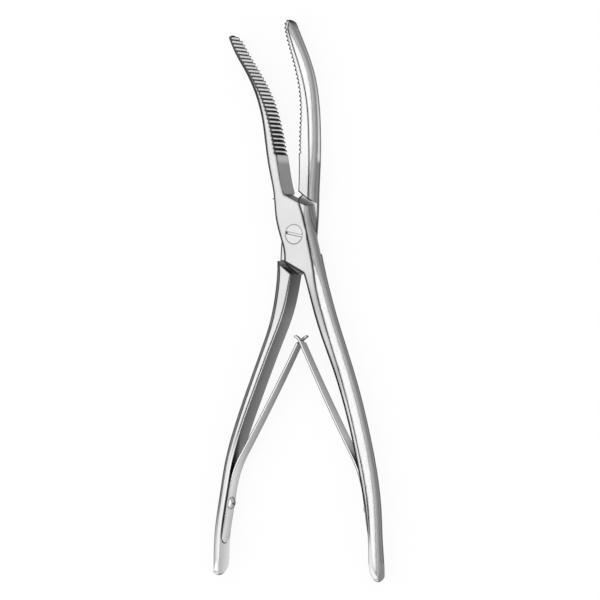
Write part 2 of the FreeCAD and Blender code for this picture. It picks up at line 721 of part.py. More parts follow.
def front_half(leaf_place):
    """Left jaw and right handle in one forging, with the lap at the front."""
    body = new_body("front_half")
    rows = jaw_rows("left_jaw_root", -1)
    limb(body, "left_jaw", rows, -1, [size["jaw_edge"]] * len(rows), OVERSIZE[0])
    rows = table("right_handle")
    limb(body, "right_handle", rows, 1, handle_edges(rows), OVERSIZE[1])
    trim_flats(body)
    floor = size["lap_height"] + size["lap_gap"] / 2
    window = polygon(body, "front_lap_outline", table("front_lap"), offset=lifted(floor.value))
    window.setExpression(".AttachmentOffset.Base.z", floor.text)
    cut(body, "front_lap", window, FAR)
    cut_reliefs(body, "front_relief", FRONT_RELIEFS)
    bite_grooves(body, "left_bite", -1, size["tooth_pitch"].value / 2)
    round_nose(body, "left_tip")
    round_nose(body, "right_end")
    bore = size["screw_shank"] + size["turn_gap"] * 2
    round_hole(body, "screw_bore", bore, zero, FAR)
    seat = size["depth"] - size["screw_head_height"] - size["head_seat"]
    round_hole(body, "screw_seat", size["screw_head"] + size["turn_gap"] * 2, seat, FAR)
    opened = FreeCAD.Placement(FreeCAD.Vector(), FreeCAD.Rotation(FreeCAD.Vector(0, 0, 1), OPENING))
    seat_groove(body, "right_groove", opened.inverse() * leaf_place)
    body.Placement = opened
    return body


def cut_reliefs(body, name, outlines):
    """Cut the lap's two free corners off along straight lines."""
    for place, corners in enumerate(outlines, start=1):
        frame = [(zero + across, zero + up) for across, up in corners]
        sketch = polygon(body, "%s_%d_outline" % (name, place), frame)
        cut(body, "%s_%d" % (name, place), sketch, 2 * FAR, both=True)


def pivot_screw():
    """The slotted screw that both halves turn on."""
    body = new_body("pivot_screw")
    head, shank = size["screw_head"] / 2, size["screw_shank"] / 2
    high = size["depth"]
    neck = size["depth"] - size["screw_head_height"]
    corners = [(zero, zero), (shank, zero), (shank, neck), (head, neck), (head, high), (zero, high)]
    sketch = polygon(body, "screw_outline", corners, "XZ_Plane")
    spin = body.newObject("PartDesign::Revolution", "screw_turning")
    spin.Profile = sketch
    spin.ReferenceAxis = (sketch, ["V_Axis"])
    doc.recompute()
    floor = lifted(size["depth"].value - size["slot_depth"].value)
    floor.Rotation = FreeCAD.Rotation(FreeCAD.Vector(0, 0, 1), SLOT_TILT)
    half = size["slot_width"] / 2
    corners = [(-1, -1), (1, -1), (1, 1), (-1, 1)]
    slot = [(size["screw_head"] * across, half * up) for across, up in corners]
    outline = polygon(body, "slot_outline", slot, offset=floor)
    outline.setExpression(".AttachmentOffset.Base.z",
                          (size["depth"] - size["slot_depth"]).text)
    cut(body, "slot", outline, FAR, upward=True)
    return body


def spring_screw(name, place):
    """A dome-headed screw that holds the foot of a leaf."""
    body = new_body(name)
    half = size["leaf_thick"].value / 2
    head, dome = size["pin_head"].value / 2, size["pin_dome"].value
    shank = size["pin_shank"].value / 2
    under = half + size["seat_gap"].value
    tip = -half - size["seat_gap"].value - size["pin_length"].value
    radius = (head ** 2 + dome ** 2) / (2 * dome)
    lean = math.asin(head / radius) / 2
    shoulder = FreeCAD.Vector(radius * math.sin(lean), under + dome - radius * (1 - math.cos(lean)), 0)
    points = [FreeCAD.Vector(0, tip, 0), FreeCAD.Vector(shank, tip, 0),
              FreeCAD.Vector(shank, under, 0), FreeCAD.Vector(head, under, 0)]
    crown = FreeCAD.Vector(0, under + dome, 0)
    sketch = new_sketch(body, name + "_outline", "XZ_Plane")
    add_lines(sketch, points)
    sketch.addGeometry(Part.Arc(points[-1], shoulder, crown))
    sketch.addGeometry(Part.LineSegment(crown, points[0]))
    spin = body.newObject("PartDesign::Revolution", name + "_turning")
    spin.Profile = sketch
    spin.ReferenceAxis = (sketch, ["V_Axis"])
    doc.recompute()
    floor = zero + (under + dome - size["pin_slot_depth"].value)
    width = size["pin_slot"] / 2
    corners = [(-1, -1), (1, -1), (1, 1), (-1, 1)]
    slot = [(size["pin_head"] * across, width * up) for across, up in corners]
    outline = polygon(body, name + "_slot_outline", slot, offset=lifted(floor.value))
    cut(body, name + "_slot", outline, NEAR, upward=True)
    body.Placement = place * seat_plane(PIN_PLACE, 0.0)
    return body


left_place, right_place = leaf_places()
bodies = [
    rear_half(left_place),
    front_half(right_place),
    pivot_screw(),
    blade("left_leaf_spring", left_place),
    blade("right_leaf_spring", right_place),
    foot("left_leaf_foot", left_place),
    foot("right_leaf_foot", right_place),
    spring_screw("left_spring_screw", left_place),
    spring_screw("right_spring_screw", right_place),
]
doc.recompute()

for item in doc.Objects:
    if "Invalid" in item.State or "Error" in item.State:
        raise ValueError("%s did not build: %s" % (item.Name, item.State))
os.makedirs("parts", exist_ok=True)
for body in bodies:
    shape = body.Shape
    if shape.isNull() or not shape.isValid() or len(shape.Solids) != 1:
        raise ValueError("%s is not one valid solid" % body.Name)
    shape.exportStep("parts/%s.step" % body.Label)
    print("%s %.1f mm3, %d faces" % (body.Label, shape.Volume, len(shape.Faces)))
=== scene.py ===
# %% [markdown]
# # A plaster cast breaker in polished steel
#
# The tool is two long forgings that cross at a screw. The jaws grip the edge
# of a cut plaster cast and break it, and two leaf springs between the handles
# open them again. The forgings and screws come from the construction model,
# where their sizes are exact. This lesson gives them a light, a table and a
# finish, and bends the two springs as the single strips that they really are.

# %% Load the construction model
import json
import math
from types import SimpleNamespace

import bmesh
import bpy
from mathutils import Matrix, Vector


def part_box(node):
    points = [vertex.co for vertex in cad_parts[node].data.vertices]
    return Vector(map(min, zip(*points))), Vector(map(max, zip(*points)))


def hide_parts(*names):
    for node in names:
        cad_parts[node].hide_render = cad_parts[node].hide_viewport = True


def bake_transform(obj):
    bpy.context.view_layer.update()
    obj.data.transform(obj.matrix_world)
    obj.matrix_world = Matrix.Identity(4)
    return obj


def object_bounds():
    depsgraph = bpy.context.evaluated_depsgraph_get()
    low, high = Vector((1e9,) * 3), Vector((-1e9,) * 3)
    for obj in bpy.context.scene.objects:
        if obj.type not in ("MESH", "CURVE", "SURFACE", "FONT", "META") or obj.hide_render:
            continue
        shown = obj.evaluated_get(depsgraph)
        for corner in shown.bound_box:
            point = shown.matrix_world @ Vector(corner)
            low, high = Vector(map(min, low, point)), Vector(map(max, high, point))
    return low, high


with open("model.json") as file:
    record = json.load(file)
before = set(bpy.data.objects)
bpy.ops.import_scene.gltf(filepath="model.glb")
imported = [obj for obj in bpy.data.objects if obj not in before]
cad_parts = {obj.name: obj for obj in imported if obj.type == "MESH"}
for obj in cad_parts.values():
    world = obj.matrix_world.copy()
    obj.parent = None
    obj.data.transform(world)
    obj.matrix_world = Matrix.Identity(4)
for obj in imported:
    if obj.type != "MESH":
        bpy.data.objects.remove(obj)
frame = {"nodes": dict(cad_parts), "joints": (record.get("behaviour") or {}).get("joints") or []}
cad_low, cad_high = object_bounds()
nodes = frame["nodes"]
print("nodes:", sorted(nodes))
print("box of the whole tool in mm:", [round(v * 1000, 1) for v in cad_high - cad_low])

# %% [markdown]
# The screw in the crossing and the spring's foot give two sizes that the
# finish and the springs need. They are measured here, so that they follow the
# construction model if it changes.

# %% Measure the screw and a foot
screw_low, screw_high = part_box("pivot_screw")
SCREW_RADIUS = (screw_high.x - screw_low.x) / 2
foot_low, foot_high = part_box("left_leaf_foot")
FOOT_WIDE = foot_high.z - foot_low.z
MID_DEPTH = (cad_low.z + cad_high.z) / 2
print("screw radius and foot width in mm:", round(SCREW_RADIUS * 1000, 2), round(FOOT_WIDE * 1000, 2))

# %% [markdown]
# ## The camera
#
# The tool lies on its back and the camera looks down at it, turned 29 degrees
# to one side, so that the inner faces of one jaw and one handle show. A wide
# lens from close by would do too, but it would splay the handles. A long lens
# from nearly two metres away keeps them parallel, as a catalogue photographer
# does with small tools. The place and the lens were measured once from the
# picture, and they're plain numbers here.

# %% Camera
CAMERA_PLACE = (0.89487, -0.02916, 1.61917)
CAMERA_TURN = math.radians(29)
LENS_MM = 248.9
CLIP = (0.1, 20)

camera_data = bpy.data.cameras.new("camera")
camera_data.lens = LENS_MM
camera_data.clip_start, camera_data.clip_end = CLIP
camera = bpy.data.objects.new("camera", camera_data)
camera.location = CAMERA_PLACE
camera.rotation_euler = (0, CAMERA_TURN, 0)
bpy.context.collection.objects.link(camera)
bpy.context.scene.camera = camera
bpy.context.scene.view_settings.view_transform = "Standard"
print("camera distance:", round(Vector(CAMERA_PLACE).length, 3), "m")

# %% [markdown]
# ## Small helpers for materials
#
# A node material is a small graph. It could be clicked together by hand, but
# a script says it in a form that can be read and repeated. Three helpers keep
# the cells short: one adds a node, one joins two sockets, and one turns a
# share from 0 to 1 into a grey tone with a colour ramp.

# %% Node helpers
def add_node(tree, kind, **settings):
    node = tree.nodes.new(kind)
    for name, value in settings.items():
        setattr(node, name, value)
    return node


def join(tree, start, end):
    tree.links.new(start, end)


def ramp(tree, share, stops):
    """The tone at a share, from (share, tone) pairs."""
    node = add_node(tree, "ShaderNodeValToRGB")
    elements = node.color_ramp.elements
    elements.remove(elements[1])
    for number, (position, level) in enumerate(stops):
        element = elements.new(position) if number else elements[0]
        element.position = position
        element.color = (level, level, level, 1)
    join(tree, share, node.inputs["Fac"])
    return node.outputs["Color"]


print("node helpers:", add_node.__name__, join.__name__, ramp.__name__)

# %% [markdown]
# Four more helpers work on plain numbers. Two carry a number from one range
# to another, straight or with soft ends, one multiplies, and one goes from a
# first number to a second as a share grows.

# %% Number helpers
def share_of(tree, source, start, end):
    """How far the source is from start to end, as a share from 0 to 1."""
    node = add_node(tree, "ShaderNodeMapRange")
    node.inputs["From Min"].default_value = start
    node.inputs["From Max"].default_value = end
    join(tree, source, node.inputs["Value"])
    return node.outputs["Result"]


def smooth_range(tree, source, start, end, low, high):
    node = add_node(tree, "ShaderNodeMapRange", interpolation_type="SMOOTHSTEP")
    node.inputs["From Min"].default_value = start
    node.inputs["From Max"].default_value = end
    node.inputs["To Min"].default_value = low
    node.inputs["To Max"].default_value = high
    join(tree, source, node.inputs["Value"])
    return node.outputs["Result"]


def times(tree, first, second):
    node = add_node(tree, "ShaderNodeMath", operation="MULTIPLY")
    join(tree, first, node.inputs[0])
    join(tree, second, node.inputs[1])
    return node.outputs["Value"]


def between(tree, share, first, second):
    node = add_node(tree, "ShaderNodeMix", data_type="FLOAT")
    for source, socket in ((share, 0), (first, 2), (second, 3)):
        if isinstance(source, (int, float)):
            node.inputs[socket].default_value = source
        else:
            join(tree, source, node.inputs[socket])
    return node.outputs[0]


print("number helpers:", share_of.__name__, smooth_range.__name__, times.__name__, between.__name__)

# %% [markdown]
# ## The table
#
# Polished steel shows whatever stands round it, so the table matters twice:
# it's the background, and it's what the undersides and the sides reflect. A
# sweep of paper that curves up behind the tool is the usual way, but this
# camera looks down, so a flat white sheet is enough. What the camera sees of
# it is nearly pure white, and it still takes the tool's soft shadow.

# %% How white the camera sees it
PURE_WHITE_SHARE = 0.88


def pure_white_share(tree):
    """The share of pure white, for what is seen straight, in a reflection or through glass."""
    rays = add_node(tree, "ShaderNodeLightPath")
    seen = add_node(tree, "ShaderNodeMath", operation="ADD")
    join(tree, rays.outputs["Is Camera Ray"], seen.inputs[0])
    join(tree, rays.outputs["Is Glossy Ray"], seen.inputs[1])
    through = add_node(tree, "ShaderNodeMath", operation="ADD", use_clamp=True)
    join(tree, seen.outputs["Value"], through.inputs[0])
    join(tree, rays.outputs["Is Transmission Ray"], through.inputs[1])
    share = add_node(tree, "ShaderNodeMath", operation="MULTIPLY")
    join(tree, through.outputs["Value"], share.inputs[0])
    share.inputs[1].default_value = PURE_WHITE_SHARE
    return share.outputs["Value"]


print("share of pure white:", PURE_WHITE_SHARE)

# %% Paper
PAPER_TONES = [(0.3, 0.95), (0.7, 0.98)]
GRAIN_SCALE = 900


def paper_material():
    material = bpy.data.materials.new("white_paper")
    material.use_nodes = True
    tree = material.node_tree
    shader = tree.nodes["Principled BSDF"]
    shader.inputs["Roughness"].default_value = 0.9
    shader.inputs["Specular IOR Level"].default_value = 0.1
    grain = add_node(tree, "ShaderNodeTexNoise")
    grain.inputs["Scale"].default_value = GRAIN_SCALE
    grain.inputs["Detail"].default_value = 3
    join(tree, ramp(tree, grain.outputs["Fac"], PAPER_TONES), shader.inputs["Base Color"])
    white = add_node(tree, "ShaderNodeEmission")
    blend = add_node(tree, "ShaderNodeMixShader")
    join(tree, pure_white_share(tree), blend.inputs["Fac"])
    join(tree, shader.outputs["BSDF"], blend.inputs[1])
    join(tree, white.outputs["Emission"], blend.inputs[2])
    join(tree, blend.outputs["Shader"], tree.nodes["Material Output"].inputs["Surface"])
    return material


print("paper tones:", PAPER_TONES)

# %% Table
TABLE_SIZE = 6.0
TABLE_DROP = 0.0004

half = TABLE_SIZE / 2
corners = [(-half, -half, 0), (half, -half, 0), (half, half, 0), (-half, half, 0)]
table_mesh = bpy.data.meshes.new("table")
table_mesh.from_pydata(corners, [], [(0, 1, 2, 3)])
table_mesh.materials.append(paper_material())
table = bpy.data.objects.new("table", table_mesh)
table.location.z = -TABLE_DROP
bpy.context.collection.objects.link(table)
print("table:", TABLE_SIZE, "m square")

# %% [markdown]
# ## Light
#
# Shiny metal is lit by what it mirrors, so the light is designed as a
# surrounding, not as lamps, which would show as hard spots. A white tent
# stands all round the table, as photographers use for cutlery, and it darkens
# slowly towards the table, where a real tent ends. The round outer sides of
# the handles mirror that dark edge as a grey band, and the band is what makes
# them look round.

# %% World
TENT = 1.08
DARK_EDGE = 0.3
EDGE_HEIGHTS = (0.0, 0.33)


def studio_world():
    world = bpy.data.worlds.new("studio")
    world.use_nodes = True
    tree = world.node_tree
    place = add_node(tree, "ShaderNodeTexCoord")
    split = add_node(tree, "ShaderNodeSeparateXYZ")
    join(tree, place.outputs["Generated"], split.inputs["Vector"])
    tone = smooth_range(tree, split.outputs["Z"], *EDGE_HEIGHTS, DARK_EDGE, TENT)
    join(tree, tone, tree.nodes["Background"].inputs["Color"])
    return world


bpy.context.scene.world = studio_world()
print("world:", bpy.context.scene.world.name)

# %% [markdown]
# ## The polish
#
# The forgings are stainless steel, ground, then polished on a wheel. The
# polish is never perfect: very fine lines run along the tool, and the wheel
# leaves faint clouds. A noise stretched along the length makes the lines and
# a round one makes the clouds. A photograph of scratches would do it too, but
# it would need a mapping on every piece, and noise needs none. Together they
# drive the roughness and a very low bump, and they barely touch the colour.
# Every steel of this tool starts here, and the next cells add to it.

# %% Noise and directions
LINE_SCALE = 4000
CLOUD_SCALE = 120
CLOUD_SHARE = 0.45
NOISE_MIDDLE = (0.3, 0.7)


def noise(tree, source, scale, detail):
    node = add_node(tree, "ShaderNodeTexNoise")
    node.inputs["Scale"].default_value = scale
    node.inputs["Detail"].default_value = detail
    join(tree, source, node.inputs["Vector"])
    return node.outputs["Fac"]


def parts_of(tree, vector):
    node = add_node(tree, "ShaderNodeSeparateXYZ")
    join(tree, vector, node.inputs["Vector"])
    return node.outputs


print("clouds are", round(1000 / CLOUD_SCALE, 1), "mm wide")

# %% [markdown]
# A steel is handed from cell to cell as a small record. It holds the
# material, its fine lines, the tone made so far, the direction in which the
# surface faces, how upright that is, and the spot on the tool.

# %% Start a steel
EDGE_TINT = (0.35, 0.35, 0.35, 1)


def start_steel(name, tone, roughness, stretch):
    material = bpy.data.materials.new(name)
    material.use_nodes = True
    tree = material.node_tree
    shader = tree.nodes["Principled BSDF"]
    shader.inputs["Metallic"].default_value = 1
    shader.inputs["Specular Tint"].default_value = EDGE_TINT
    place = add_node(tree, "ShaderNodeTexCoord")
    spread = add_node(tree, "ShaderNodeMapping")
    spread.inputs["Scale"].default_value = stretch
    join(tree, place.outputs["Object"], spread.inputs["Vector"])
    lines = noise(tree, spread.outputs["Vector"], LINE_SCALE, detail=6)
    clouds = noise(tree, place.outputs["Object"], CLOUD_SCALE, detail=5)
    marks = between(tree, CLOUD_SHARE, lines, clouds)
    join(tree, smooth_range(tree, marks, *NOISE_MIDDLE, *roughness), shader.inputs["Roughness"])
    facing = parts_of(tree, place.outputs["Normal"])
    upright = add_node(tree, "ShaderNodeMath", operation="ABSOLUTE")
    join(tree, facing["Z"], upright.inputs[0])
    return SimpleNamespace(
        material=material,
        tree=tree,
        shader=shader,
        lines=lines,
        colour=smooth_range(tree, marks, *NOISE_MIDDLE, *tone),
        facing=facing,
        upright=upright.outputs["Value"],
        spot=parts_of(tree, place.outputs["Object"]),
    )


print("steel mirrors this much at a grazing angle:", EDGE_TINT[0])

# %% [markdown]
# ## Painted shade on the sides
#
# In a real studio the sides of the tool mirror the room low down, which is
# darker than the tent and uneven. Dark cards could stand on the table for
# that, but they would darken the white paper too. So that reflection is
# painted into the steel's colour as painted shade. It depends on how far a
# face leans away from the front: full on the flats, darker on the round outer
# side, and grey on faces that stand upright.

# %% Shade the sides
# Painted shade: the colour gets darker as a face turns from the front to the side.
ROUND_SIDE_PAINTED_SHADE = [(0.0, 0.34), (0.17, 0.21), (0.41, 0.42), (0.52, 0.72), (0.6, 0.95), (0.68, 1.0)]


def shade_sides(steel, stops):
    tone = ramp(steel.tree, steel.upright, stops)
    steel.colour = times(steel.tree, steel.colour, tone)


print("side tones:", ROUND_SIDE_PAINTED_SHADE)

# %% [markdown]
# The photographer stood to the right, so of the left outer sides only a
# narrow strip shows, and in it the steel would mirror the dark room beyond the
# table. That reflection is painted into the colour as dark painted shade, and
# it draws the tool's left outline. The same kind of ramp makes it, now from
# how far a face looks to the left. It fades towards the handle's end, where
# the side turns up into a pad.

# %% Shade the strip that looks to the left
# Painted shade: faces that look to the left are darkened in the colour.
OUTLINE_PAINTED_SHADE = [(0.0, 0.7), (0.05, 0.3), (0.1, 0.1), (0.2, 0.2), (0.28, 0.5), (0.33, 1.0)]
OUTLINE_FADE = (-0.140, -0.115, 0.35, 1)


def shade_outline(steel):
    tree = steel.tree
    tone = ramp(tree, share_of(tree, steel.facing["X"], -1, 1), OUTLINE_PAINTED_SHADE)
    above_pad = smooth_range(tree, steel.spot["Y"], *OUTLINE_FADE)
    steel.colour = times(tree, steel.colour, between(tree, above_pad, 1.0, tone))


print("outline tones:", OUTLINE_PAINTED_SHADE)

# %% [markdown]
# The flats are darkened with painted shade in places along the length, most
# round the joint, so they look a little greyer there. The tone follows a
# table along the tool's length, from the handle ends to the jaw tips. A
# painted mask could do the same, but a table stays easy to change.

# %% Tone along the length
LENGTH = (-0.16, 0.10)


def along_length(steel, stops):
    """A tone for each height, given as pairs of millimetres and level."""
    share = share_of(steel.tree, steel.spot["Y"], *LENGTH)
    start, end = LENGTH
    return ramp(steel.tree, share, [((mm / 1000 - start) / (end - start), level) for mm, level in stops])


print("tones follow", round((LENGTH[1] - LENGTH[0]) * 1000), "mm of length")

# %% Painted shade of the flats
FLAT_FROM = (0.97, 0.99)
# Painted shade along the length of the flats.
FRONT_FLATS_PAINTED_SHADE = [(-90, 0.97), (-74, 0.95), (-62, 0.6), (-47, 0.75), (-30, 0.6), (-16, 0.78),
               (20, 0.8), (45, 0.85), (60, 0.97)]
REAR_FLATS_PAINTED_SHADE = [(-140, 0.88), (-100, 0.88), (-60, 0.97), (-45, 0.88), (-35, 0.8), (20, 0.8), (40, 0.97)]


def paint_flat_shade(steel, stops):
    tree = steel.tree
    flat = smooth_range(tree, steel.upright, *FLAT_FROM, 0, 1)
    tone = between(tree, flat, 1.0, along_length(steel, stops))
    steel.colour = times(tree, steel.colour, tone)


print("flat tones:", len(FRONT_FLATS_PAINTED_SHADE), "and", len(REAR_FLATS_PAINTED_SHADE))

# %% [markdown]
# ## Teeth
#
# The bite of each jaw is cut into cross grooves. From the front they look
# like stripes, because the side of a tooth that looks down towards the joint
# catches the light and the side that looks up to the tip is in shade. That
# light and shade is painted into the colour by the way each face looks. A
# painted shade also creeps round the edge between them, where a ground edge,
# which is never sharp, turns away from the light. The edges can't be rounded
# in the construction model's mesh, which stays as it is. A Bevel node finds
# them instead: it gives the average direction of the surface round a point,
# which differs from the point's own direction near an edge.

# %% Compare a point with its surroundings
TOOTH_REACH = 0.0009


def surroundings(tree, reach, samples):
    """How well a point agrees with the surface within reach, and how the average leans."""
    rounded = add_node(tree, "ShaderNodeBevel", samples=samples)
    rounded.inputs["Radius"].default_value = reach
    geometry = add_node(tree, "ShaderNodeNewGeometry")
    match = add_node(tree, "ShaderNodeVectorMath", operation="DOT_PRODUCT")
    change = add_node(tree, "ShaderNodeVectorMath", operation="SUBTRACT")
    for node in (match, change):
        join(tree, rounded.outputs["Normal"], node.inputs[0])
        join(tree, geometry.outputs["Normal"], node.inputs[1])
    return match.outputs["Value"], parts_of(tree, change.outputs["Vector"])


print("a tooth is compared over", TOOTH_REACH * 1000, "mm")

# %% Paint light and shade on the teeth
TEETH_START = (0.031, 0.0335)
TOOTH_SIDES = (0.1, 0.2)
# Painted light and shade: light on tooth faces that look down, dark on those that look up and round their
# edges.
TOOTH_PAINTED_LIGHT_AND_SHADE = [(0.25, 0.9), (0.5, 0.72), (0.6, 0.5), (0.72, 0.38), (0.85, 0.07)]
TOOTH_EDGE_PAINTED_SHADE = (0.95, 0.99, 0.09, 1)


def paint_tooth_light_and_shade(steel):
    tree = steel.tree
    tone = ramp(tree, share_of(tree, steel.facing["Y"], -1, 1), TOOTH_PAINTED_LIGHT_AND_SHADE)
    match, _ = surroundings(tree, TOOTH_REACH, samples=12)
    stripes = times(tree, tone, smooth_range(tree, match, *TOOTH_EDGE_PAINTED_SHADE))
    side = smooth_range(tree, steel.upright, *TOOTH_SIDES, 1, 0)
    above = smooth_range(tree, steel.spot["Y"], *TEETH_START, 0, 1)
    steel.colour = between(tree, times(tree, side, above), steel.colour, stripes)


print("teeth start", TEETH_START[1] * 1000, "mm above the screw")

# %% [markdown]
# ## The face inside the left handle
#
# The left handle shows its inner face. It mirrors the spring that stands in
# front of it, so it's dark beside the spring and light again on the pad below
# the spring's foot. The render mirrors the spring as well, but not the dark
# room behind it, so that reflection is painted into the colour: the same
# table along the length sets a painted shade, and painted light makes the
# face a little lighter low down, next to the white table.

# %% Shade the inner face
# Painted shade along the inner face, with painted light low down.
INNER_FACE_PAINTED_SHADE = [(-136.4, 0.6), (-135.0, 0.2), (-100, 0.22), (-92, 0.19), (-80, 0.2),
              (-38, 0.22), (-30, 0.15), (-16, 0.1)]
INNER_SIDE = (0.8, 0.9)
INNER_TOP = (-0.014, -0.018)
INNER_DEPTH_PAINTED_LIGHT = (1.3, 0.9)


def shade_inner_face(steel):
    tree = steel.tree
    inward = smooth_range(tree, steel.facing["X"], *INNER_SIDE, 0, 1)
    below = smooth_range(tree, steel.spot["Y"], *INNER_TOP, 0, 1)
    depth = smooth_range(tree, steel.spot["Z"], cad_low.z, cad_high.z, *INNER_DEPTH_PAINTED_LIGHT)
    tone = times(tree, along_length(steel, INNER_FACE_PAINTED_SHADE), depth)
    steel.colour = between(tree, times(tree, inward, below), steel.colour, tone)


print("inner face tones:", len(INNER_FACE_PAINTED_SHADE))

# %% [markdown]
# ## Painted dark lines along the edges
#
# Every edge of the real tool is slightly rounded, and the rounding mirrors
# the dark end of the tent as a thin line. Here that reflection is painted
# into the colour as a thin line of painted shade. Those lines are what draws
# the tool's shape in a white tent. The same comparison as on the teeth finds
# them. Edges that look to the left get a wider line, because they face away
# from the camera.

# %% Find the edges
# Painted shade: how dark the painted lines along the edges get.
LEFT_EDGE_PAINTED_SHADE = (0.9970, 0.9997, 0.05, 1)
RIGHT_EDGE_PAINTED_SHADE = (0.9955, 0.9995, 0.12, 1)
LEFT_WIDER = 1.6
LEAN = (-0.01, 0.01)


def painted_edge_lines(steel, reach):
    """The painted shade near edges that look left, near all others, and which one counts."""
    tree = steel.tree
    match, lean = surroundings(tree, reach, samples=16)
    wide_match, _ = surroundings(tree, reach * LEFT_WIDER, samples=12)
    left = smooth_range(tree, wide_match, *LEFT_EDGE_PAINTED_SHADE)
    right = smooth_range(tree, match, *RIGHT_EDGE_PAINTED_SHADE)
    return left, right, smooth_range(tree, lean["X"], *LEAN, 0, 1)


print("left lines are", LEFT_WIDER, "times as wide")

# %% [markdown]
# On a forging the lines belong to what faces the front or the back. They stay
# clear of the screw, where the real seat is ground flush and only a thin ring
# shows, and they fade towards the ends, where the edges are rounder.

# %% Keep clear of the screw
SCREW_CLEAR = (SCREW_RADIUS + 0.00135, SCREW_RADIUS + 0.00215)
SCREW_RING = (SCREW_RADIUS + 0.0001, SCREW_RADIUS + 0.00055, 0.5, 1)


def distance_from_screw(steel):
    across = add_node(steel.tree, "ShaderNodeCombineXYZ")
    join(steel.tree, steel.spot["X"], across.inputs["X"])
    join(steel.tree, steel.spot["Y"], across.inputs["Y"])
    distance = add_node(steel.tree, "ShaderNodeVectorMath", operation="LENGTH")
    join(steel.tree, across.outputs["Vector"], distance.inputs[0])
    return distance.outputs["Value"]


print("ring round the screw in mm:", [round(edge * 1000, 2) for edge in SCREW_RING[:2]])

# %% Draw them on a forging
FACES_FRONT = (0.3, 0.45)


def draw_forging_edges(steel, reach, fade):
    tree = steel.tree
    left, right, to_right = painted_edge_lines(steel, reach)
    line = between(tree, to_right, left, right)
    front = smooth_range(tree, steel.upright, *FACES_FRONT, 0, 1)
    from_screw = distance_from_screw(steel)
    clear = smooth_range(tree, from_screw, *SCREW_CLEAR, 0, 1)
    away = times(tree, clear, smooth_range(tree, steel.spot["Y"], *fade))
    # The colour is darkened with the painted edge lines, then with the dark ring of the screw's seat.
    steel.colour = times(tree, steel.colour, between(tree, times(tree, front, away), 1.0, line))
    ring = smooth_range(tree, from_screw, *SCREW_RING)
    steel.colour = times(tree, steel.colour, between(tree, front, 1.0, ring))


print("lines on faces that lean less than", round(math.degrees(math.acos(FACES_FRONT[0]))), "degrees")

# %% [markdown]
# ## Three steels
#
# The last step of a steel joins its tone to the shader and adds the fine
# lines of the polish as a bump, over a tiny rounding of all edges. Then the
# tool's steels are put together: one for each forging, because the painted
# shade on their flats and faces differs, and one for the three screws, which
# are turned on a lathe and have no lines along them. A single steel for
# everything would be shorter, but the two halves carry different painted
# shade.

# %% Finish a steel
SOFT_EDGE = 0.0002
BUMP_DEPTH = 0.00005


def finish_steel(steel, brushing):
    tree = steel.tree
    join(tree, steel.colour, steel.shader.inputs["Base Color"])
    soft = add_node(tree, "ShaderNodeBevel", samples=4)
    soft.inputs["Radius"].default_value = SOFT_EDGE
    bump = add_node(tree, "ShaderNodeBump")
    bump.inputs["Strength"].default_value = brushing
    bump.inputs["Distance"].default_value = BUMP_DEPTH
    join(tree, steel.lines, bump.inputs["Height"])
    join(tree, soft.outputs["Normal"], bump.inputs["Normal"])
    join(tree, bump.outputs["Normal"], steel.shader.inputs["Normal"])
    return steel.material


print("edges are softened over", SOFT_EDGE * 1000, "mm")

# %% Steel of the two forgings
FORGING_TONE = (0.88, 0.95)
FORGING_ROUGHNESS = (0.15, 0.22)
LINES_ALONG = (1, 0.03, 1)
FRONT_REACH = 0.0012
REAR_REACH = 0.0007
FRONT_FADE = (-0.140, -0.128, 0.25, 1)
REAR_FADE = (-0.104, -0.084, 0.15, 1)


def forging_steel(name, flats, reach, fade, inner_face):
    steel = start_steel(name, FORGING_TONE, FORGING_ROUGHNESS, LINES_ALONG)
    shade_sides(steel, ROUND_SIDE_PAINTED_SHADE)
    shade_outline(steel)
    paint_flat_shade(steel, flats)
    paint_tooth_light_and_shade(steel)
    if inner_face:
        shade_inner_face(steel)
    draw_forging_edges(steel, reach, fade)
    return finish_steel(steel, brushing=0.08)


front_steel = forging_steel("front_forging_steel", FRONT_FLATS_PAINTED_SHADE, FRONT_REACH, FRONT_FADE, inner_face=False)
rear_steel = forging_steel("rear_forging_steel", REAR_FLATS_PAINTED_SHADE, REAR_REACH, REAR_FADE, inner_face=True)
print("steels:", front_steel.name, rear_steel.name)

# %% Dress the forgings
def dress(node, material):
    slots = nodes[node].material_slots
    for number in range(len(slots)):
        slots[number].link = "OBJECT"
        slots[number].material = material


dress("front_half", front_steel)
dress("rear_half", rear_steel)
print("forgings dressed")

# %% [markdown]
# The screws are turned, so their polish has no direction. Their domes mirror
# the tent like a small ball, and that is painted into the colour as painted
# light and shade, by how far a face leans. The pivot screw's slot is cut
# square, and of its two edges the upper one shows the darker line. Both lines
# are painted shade, and the lower one is painted paler. The comparison that
# drew the edges of the forgings tells the two apart by the way the surface
# leans.

# %% Steel of the screws
SCREW_TONE = (0.72, 0.78)
SCREW_ROUGHNESS = (0.16, 0.24)
# Painted light and shade on the screws, by how far a face leans.
SCREW_PAINTED_LIGHT_AND_SHADE = [(0.0, 0.25), (0.5, 0.8), (0.7, 1.3), (0.98, 1.2), (0.995, 1.0)]
SLOT_REACH = 0.0005
SLOT_EDGE_PAINTED_SHADE = (0.93, 0.99, 0.2, 1)
SLOT_EDGE_PAINTED_PALER = (-0.02, 0.02, 0, 0.6)


def turned_steel():
    steel = start_steel("turned_screw_steel", SCREW_TONE, SCREW_ROUGHNESS, (1, 1, 1))
    tree = steel.tree
    shade_sides(steel, SCREW_PAINTED_LIGHT_AND_SHADE)
    match, lean = surroundings(tree, SLOT_REACH, samples=16)
    line = smooth_range(tree, match, *SLOT_EDGE_PAINTED_SHADE)
    pale = smooth_range(tree, lean["Y"], *SLOT_EDGE_PAINTED_PALER)
    steel.colour = times(tree, steel.colour, between(tree, pale, line, 1.0))
    return finish_steel(steel, brushing=0.06)


